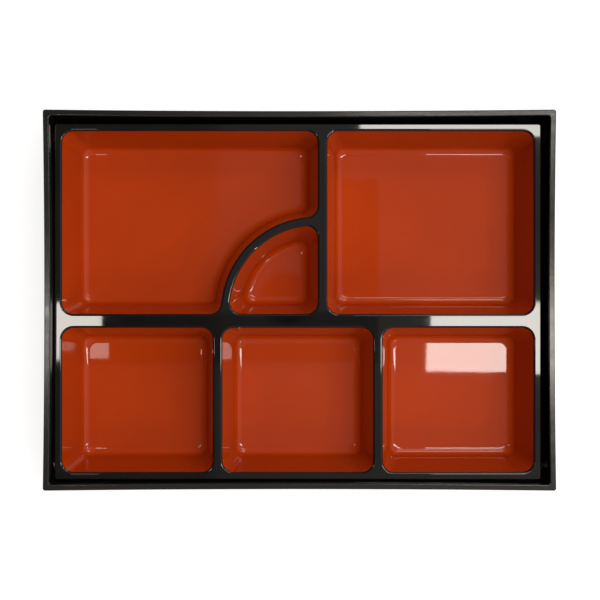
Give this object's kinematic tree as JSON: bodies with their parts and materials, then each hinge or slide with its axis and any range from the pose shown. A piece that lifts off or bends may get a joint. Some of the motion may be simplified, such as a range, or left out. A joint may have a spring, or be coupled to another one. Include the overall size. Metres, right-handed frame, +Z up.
{
  "type": "lacquer lunch box tier with partition tray",
  "caption": "Open black stacking lunch box tier with a loose partition tray of red-lacquered cells that lifts straight out.",
  "frame": {"origin": "on the table under the middle of the box's footprint", "axes": "+X along the length of the box, +Y towards the row with the large cell (the top of the picture), +Z up"},
  "size_m": [0.33, 0.245, 0.052],
  "materials": {
    "black_box": "satin black moulded plastic with a faint lengthwise grain on the rim",
    "black_tray": "mirror-gloss black lacquer on moulded plastic",
    "red_lacquer": "mirror-gloss vermilion lacquer"
  },
  "bodies": {
    "box": {"outer_box": "black_box"},
    "tray": {"partition_tray": "black_tray", "large_cell_lacquer": "red_lacquer", "upper_right_cell_lacquer": "red_lacquer", "quarter_cell_lacquer": "red_lacquer", "lower_left_cell_lacquer": "red_lacquer", "lower_middle_cell_lacquer": "red_lacquer", "lower_right_cell_lacquer": "red_lacquer"}
  },
  "joints": [
    {"name": "tray_lift", "type": "slide", "parent": "box", "child": "tray", "axis": [0, 0, 1], "range_m": [0, 0.06]}
  ]
}
